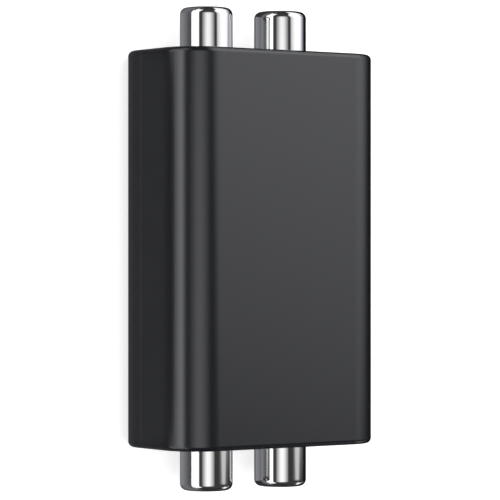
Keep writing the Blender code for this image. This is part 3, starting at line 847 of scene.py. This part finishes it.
# Inside pieces: the solids keep their shape and get their finishes

insideLooks = {
    "board_laminate": {"kind": "weave", "colour": (0.03, 0.16, 0.07), "roughness": (0.35, 0.5),
                       "pitch": 0.5 * mm, "depth": 0.004 * mm},
    "lamination_steel": {"kind": "sheets", "colour": (0.16, 0.16, 0.17), "roughness": (0.4, 0.6),
                         "pitch": 0.35 * mm, "depth": 0.03 * mm},
    "bobbin_nylon": {"kind": "plastic", "colour": (0.06, 0.06, 0.06), "roughness": (0.4, 0.55),
                     "depth": 0.002 * mm},
    "enamelled_copper": {"kind": "wire", "colour": (0.55, 0.22, 0.10), "roughness": (0.25, 0.4),
                         "pitch": 0.12 * mm, "depth": 0.03 * mm},
    "yellow_tape": {"kind": "plastic", "colour": (0.75, 0.50, 0.05), "roughness": (0.25, 0.4),
                    "depth": 0.002 * mm},
    "tinned_steel": {"kind": "metal", "colour": (0.55, 0.55, 0.55), "roughness": (0.22, 0.38),
                     "depth": 0.002 * mm},
}
insideFinish = {"patches": (500.0, 3.0), "shades": (0.88, 1.0), "grain": (4000.0, 2.0)}


def stripes(look, axis, pitch):
    # rounded bands, one to each wire or sheet
    bands = addNode(
        look, "ShaderNodeTexWave", wave_type="BANDS", bands_direction=axis, wave_profile="SIN")
    bands.inputs["Scale"].default_value = math.pi / (10.0 * pitch)  # a band is pi/10 at scale 1
    wire(look, objectSpace(look), bands.inputs["Vector"])
    return bands.outputs["Fac"]


def insideLook(name, facts):
    kind = facts["kind"]
    if kind in ("metal", "sheets", "wire"):
        look, shader = patchyLook(name, facts, metalFinish, 1.0)
    else:
        look, shader = patchyLook(name, facts, insideFinish)
    if kind == "sheets":
        height = stripes(look, "X", facts["pitch"])
    elif kind == "wire":
        height = stripes(look, "Z", facts["pitch"])
    elif kind == "weave":
        crossing = [stripes(look, axis, facts["pitch"]) for axis in ("X", "Y")]
        height = combine(look, "ADD", *crossing)
    else:
        height = noise(look, objectSpace(look), *insideFinish["grain"])
    bump(look, shader, height, facts["depth"])
    return look


finishes = {"plated_contact": platedContact}
for slotName, facts in insideLooks.items():
    finishes[slotName] = insideLook(slotName, facts)
for part in frame["record"]["subparts"]:
    if part["material_slot"] in finishes:
        for materialSlot in frame["nodes"][part["node"]].material_slots:
            materialSlot.material = finishes[part["material_slot"]]
print("inside pieces finished")


# Floor and backdrop: one pale sweep

sweep = {
    "floorRadius": 0.50,
    "rings": (0.125, 0.25),  # they divide the flat floor
    "wallRadius": 0.60,
    "wallTop": 0.27,
    "bendSteps": 12,
    "steps": 96,
    "sunk": 0.02 * mm,
    "holeInset": 0.3 * mm,
    "colour": (0.82, 0.82, 0.82),
    "roughness": 0.9,
    "cameraGlow": 0.70,  # lifts the floor to white, and the shadow stays as a faint tone
    "mirrorGlow": 0.35,
}


def sweepLook():
    look, shader = newLook("paleSweep", sweep["colour"])
    shader.inputs["Roughness"].default_value = sweep["roughness"]
    shader.inputs["Specular IOR Level"].default_value = 0.0
    shader.inputs["Emission Color"].default_value = (1.0, 1.0, 1.0, 1.0)
    rays = addNode(look, "ShaderNodeLightPath")
    seen = spread(look, rays.outputs["Is Camera Ray"], 0.0, sweep["cameraGlow"])
    mirrored = combine(
        look, "MAXIMUM", rays.outputs["Is Glossy Ray"], rays.outputs["Is Transmission Ray"])
    mirrored = spread(look, mirrored, 0.0, sweep["mirrorGlow"])
    wire(look, combine(look, "ADD", seen, mirrored), shader.inputs["Emission Strength"])
    # from underneath it is clear, so that the case's back can be seen
    clear = addNode(look, "ShaderNodeBsdfTransparent")
    sides = addNode(look, "ShaderNodeMixShader")
    wire(look, addNode(look, "ShaderNodeNewGeometry").outputs["Backfacing"], sides.inputs["Fac"])
    wire(look, shader.outputs["BSDF"], sides.inputs[1])
    wire(look, clear.outputs["BSDF"], sides.inputs[2])
    wire(look, sides.outputs["Shader"], look.node_tree.nodes["Material Output"].inputs["Surface"])
    look.cycles.emission_sampling = "NONE"
    return look


def makeSweep():
    # round, a hair lower than the case's back, and open under the back's flat part
    flat = sweep["floorRadius"]
    bend = sweep["wallRadius"] - flat
    level = -sweep["sunk"]
    profile = [(radius, level) for radius in sweep["rings"]]
    profile += arcPoints((flat, bend + level), bend, -90, 0, sweep["bendSteps"])
    profile.append((sweep["wallRadius"], sweep["wallTop"]))
    bm = bmesh.new()
    spinSection(bm, profile, sweep["steps"], False)
    innermost = sweep["rings"][0] + mm
    inner = [e for e in bm.edges if all(vert.co.xy.length < innermost for vert in e.verts)]
    halfX = caseHigh.x - caseShape["longEdgeRadius"] - sweep["holeInset"]
    halfY = caseHigh.y - caseShape["endFillet"] - sweep["holeInset"]
    signs = ((-1, -1), (1, -1), (1, 1), (-1, 1))
    corners = [bm.verts.new((sx * halfX, sy * halfY, level)) for sx, sy in signs]
    footprint = [bm.edges.new((corners[i - 1], corners[i])) for i in range(4)]
    bmesh.ops.triangle_fill(bm, use_beauty=True, edges=inner + footprint)
    bmesh.ops.recalc_face_normals(bm, faces=bm.faces)
    if min(face.normal.z for face in bm.faces) < -0.1:  # the floor has to face up
        bmesh.ops.reverse_faces(bm, faces=bm.faces)
    floor = newPiece("paleSweep", bm)
    floor.data.materials.append(sweepLook())


makeSweep()


# Lights: glowing panels round the case, which the camera doesn't see, and one lamp overhead.
# A panel's place around is in degrees from the camera, turning about the case's length

studioLights = {
    "keyPanel": {
        "around": 83.0, "distance": 0.70, "width": 1.50, "length": 1.50, "along": 0.55,
        "strength": 1.76,
        "round": ((0, 1), (0.27, 1), (0.53, 0.87), (0.65, 0.67), (0.756, 0.48), (0.83, 0.37),
                  (0.86, 0.34), (0.88, 0.17), (0.896, 0.09), (0.92, 0.07), (0.96, 0.03),
                  (1, 0.025)),
    },
    "frontPanel": {
        "around": 10.0, "distance": 0.90, "width": 1.06, "length": 0.9, "along": -0.12,
        "strength": 1.14, "fade": 0.3,
        "profile": ((0, 0), (0.2, 0.42), (0.42, 0.97), (0.6, 1), (0.8, 0.45), (1, 0)),
    },
    "leftStrip": {
        "around": -41.5, "distance": 0.56, "width": 0.24, "length": 1.1, "along": 0.05,
        "strength": 2.25, "fade": 0.2,
        "profile": ((0, 0.1), (0.15, 0.4), (0.3, 0.9), (0.5, 1), (0.75, 0.75), (1, 0.35)),
    },
}
fillLamp = {"height": 1.2, "size": 1.6, "power": 12.3}
surround = {"above": 0.05, "below": 0.8, "blend": 0.02}


def glowLook(name):
    look = bpy.data.materials.new(name)
    look.use_nodes = True
    nodes = look.node_tree.nodes
    nodes.remove(nodes["Principled BSDF"])
    glow = addNode(look, "ShaderNodeEmission")
    wire(look, glow.outputs["Emission"], nodes["Material Output"].inputs["Surface"])
    return look, glow


def fromMiddle(look, panel):
    # 0 in the panel's middle and 1 at the oval that just fits in it
    node = addNode(look, "ShaderNodeVectorMath", operation="LENGTH")
    space = objectSpace(look, (2.0 / panel["width"], 2.0 / panel["length"], 1.0))
    wire(look, space, node.inputs[0])
    return spread(look, node.outputs["Value"], 0.0, 1.0)


def panelLook(name, panel):
    # "round" falls off from the middle, "profile" runs across the panel and fades at its ends
    look, glow = glowLook(name)
    if "round" in panel:
        shape = rampThrough(look, fromMiddle(look, panel), panel["round"])
    else:
        split = addNode(look, "ShaderNodeSeparateXYZ")
        place = addNode(look, "ShaderNodeTexCoord")
        wire(look, place.outputs["Generated"], split.inputs["Vector"])
        shape = rampThrough(look, split.outputs["X"], panel["profile"])
        fade = panel["fade"]
        for start, end in ((0.0, fade), (1.0, 1.0 - fade)):
            faded = spread(look, split.outputs["Y"], 0.0, 1.0, start, end, "SMOOTHSTEP")
            shape = combine(look, "MULTIPLY", shape, faded)
    wire(look, spread(look, shape, 0.0, panel["strength"]), glow.inputs["Strength"])
    return look


def aroundCase(degrees):
    # a direction square to the case's length, at an angle from the camera's own
    turn = math.radians(camera["turn"] - degrees)
    return Vector((-math.sin(turn), 0.0, math.cos(turn)))


def makePanel(name, panel):
    away = aroundCase(panel["around"])
    bm = bmesh.new()
    bmesh.ops.create_grid(bm, x_segments=1, y_segments=1, size=0.5)
    bmesh.ops.scale(bm, vec=(panel["width"], panel["length"], 1.0), verts=bm.verts)
    piece = newPiece(name, bm)
    along = Vector((0.0, 1.0, 0.0))
    across = along.cross(-away)
    turned = Matrix((across, along, -away)).transposed().to_4x4()
    middle = away * panel["distance"] + Vector((0.0, panel["along"], caseHigh.z / 2))
    piece.matrix_world = Matrix.Translation(middle) @ turned
    piece.data.materials.append(panelLook(name, panel))
    piece.visible_camera = False
    piece.visible_shadow = False


def makeFillLamp():
    data = bpy.data.lights.new("fillLamp", "AREA")
    data.shape = "DISK"
    data.size = fillLamp["size"]
    data.energy = fillLamp["power"]
    lamp = bpy.data.objects.new("fillLamp", data)
    scene.collection.objects.link(lamp)
    lamp.location = (0.0, 0.0, fillLamp["height"])
    lamp.visible_glossy = False
    lamp.visible_camera = False


def makeSurround():
    # dim above the horizon, light below it, and white where the camera sees past the sweep
    world = bpy.data.worlds.new("dimStudio")
    world.use_nodes = True
    world.cycles.sampling_method = "NONE"
    split = addNode(world, "ShaderNodeSeparateXYZ")
    place = addNode(world, "ShaderNodeTexCoord")
    wire(world, place.outputs["Generated"], split.inputs["Vector"])
    sky = spread(
        world, split.outputs["Z"], surround["below"], surround["above"], -surround["blend"], 0.0)
    seen = addNode(world, "ShaderNodeLightPath").outputs["Is Camera Ray"]
    background = world.node_tree.nodes["Background"]
    wire(world, combine(world, "MAXIMUM", sky, seen), background.inputs["Strength"])
    background.inputs["Color"].default_value = (1.0, 1.0, 1.0, 1.0)
    scene.world = world


for panelName, panelFacts in studioLights.items():
    makePanel(panelName, panelFacts)
makeFillLamp()
makeSurround()
print("studio set")


# Painted reflections: glowing cards that only reflections see, most of them dark. They paint the
# light and shade that the plating and the case reflect. Their corners are in millimetres.
# Shades run along an axis, as (place, shade) points, and multiply the card's glow strength

cardLift = 0.05 * mm  # how far a lying card stands above its height
# painted reflection of the floor past the jacks' ends, with painted shade between the jacks
endShades = ((-54, 0.06), (-27, 0.104), (-20.4, 0.165), (-16.4, 0.208), (-12.8, 0.26),
             (-6.1, 0.175), (-2.1, 0.22), (1.1, 0.275), (3, 0.16), (8, 0.1), (19.4, 0.03))
# painted reflection seen in the jack rims, darkest near the case's middle
rimShades = ((-54, 0.08), (-27, 0.12), (-16, 0.19), (-10, 0.12), (-5, 0.04), (3, 0.03),
             (10, 0.08), (19.4, 0.05))
# painted reflection of the floor beside the case, falling to painted shade under the case's edge
sideShades = ((-300, 0.7), (-150, 0.28), (-105, 0.1), (-82, 0.065), (-59, 0.07), (-46, 0.13),
              (-38, 0.18), (-33, 0.19), (-20, 0.18), (-17.5, 0.06), (-12.6, 0.02))
# painted reflection of light to the right of the case, brighter upward and towards the far end
rightWallShades = {
    "Z": ((0, 0.1), (86, 0.27), (179, 0.62), (226, 0.85), (270, 0.9)),
    "Y": ((-450, 0.04), (-80, 0.08), (-57, 0.375), (0, 0.625), (57, 0.9), (100, 1), (450, 1)),
}
# the tint of the painted reflections' glow
paintedReflectionTint = (0.97, 0.98, 1.05)
paintedReflections = {
    "caseSidePaintedReflection": {"low": (-300, -31.2, 0), "high": (-12.6, 31.2, 0), "flare": 19,
                     "shades": {"X": sideShades}},
    "farEndPaintedReflection": {"low": (-54, 31, 0.02), "high": (19.4, 95, 0.02), "shades": {"X": endShades}},
    "nearEndPaintedReflection": {"low": (-54, -95, 0.02), "high": (19.4, -31, 0.02), "shades": {"X": endShades}},
    "farRimPaintedReflection": {"low": (-54, 38.5, 0.04), "high": (19.4, 95, 0.04), "shades": {"X": rimShades}},
    "nearRimPaintedReflection": {"low": (-54, -95, 0.04), "high": (19.4, -38.5, 0.04),
                    "shades": {"X": rimShades}},
    "farFloorPaintedReflection": {"low": (-150, 95, 0), "high": (150, 555, 0), "strength": 0.04},
    "nearFloorPaintedReflection": {"low": (-150, -435, 0), "high": (150, -95, 0), "strength": 0.04},
    "rightPaintedReflection": {"low": (19.4, -300, 0), "high": (500, 300, 0), "strength": 0.01},
    "rightWallPaintedReflection": {"low": (500, -450, 0), "high": (500, 450, 270), "strength": 1.36,
                      "shades": rightWallShades},
    "farWallPaintedReflection": {"low": (-300, 510, 0), "high": (130, 510, 262), "strength": 0.03},
    "nearWallPaintedReflection": {"low": (-350, -440, 0), "high": (410, -440, 242), "strength": 0.03},
}


def paintedReflectionLook(name, reflectionCard):
    look, glow = glowLook(name)
    glow.inputs["Color"].default_value = (*paintedReflectionTint, 1.0)
    value = addNode(look, "ShaderNodeValue").outputs["Value"]
    value.default_value = reflectionCard.get("strength", 1.0)
    for axis, shades in reflectionCard.get("shades", {}).items():
        split = addNode(look, "ShaderNodeSeparateXYZ")
        wire(look, objectSpace(look), split.inputs["Vector"])
        start = shades[0][0]
        run = shades[-1][0] - start
        along = spread(look, split.outputs[axis], 0.0, 1.0, start * mm, (start + run) * mm)
        ramp = rampThrough(look, along, [((place - start) / run, shade) for place, shade in shades])
        value = combine(look, "MULTIPLY", value, ramp)
    wire(look, value, glow.inputs["Strength"])
    look.cycles.emission_sampling = "NONE"
    return look


def cardCorners(reflectionCard):
    low = Vector(reflectionCard["low"]) * mm
    high = Vector(reflectionCard["high"]) * mm
    if low.z < high.z:
        foot = [(low.x, low.y, low.z), (high.x, high.y, low.z)]
        return foot + [(high.x, high.y, high.z), (low.x, low.y, high.z)]
    flare = reflectionCard.get("flare", 0) * mm  # how much wider the low end is on each side
    outline = [(low.x, low.y - flare), (high.x, low.y), (high.x, high.y), (low.x, high.y + flare)]
    return [(x, y, low.z + cardLift) for x, y in outline]


def makePaintedReflection(name, reflectionCard):
    bm = bmesh.new()
    bm.faces.new([bm.verts.new(corner) for corner in cardCorners(reflectionCard)])
    card = newPiece(name, bm)
    card.data.materials.append(paintedReflectionLook(name, reflectionCard))
    # seen only in reflections, where the card paints reflected light and shade
    for ray in ("camera", "diffuse", "transmission", "volume_scatter", "shadow"):
        setattr(card, f"visible_{ray}", False)


for reflectionName, reflectionFacts in paintedReflections.items():
    makePaintedReflection(reflectionName, reflectionFacts)
print("flags set")


scene.view_settings.view_transform = "Standard"
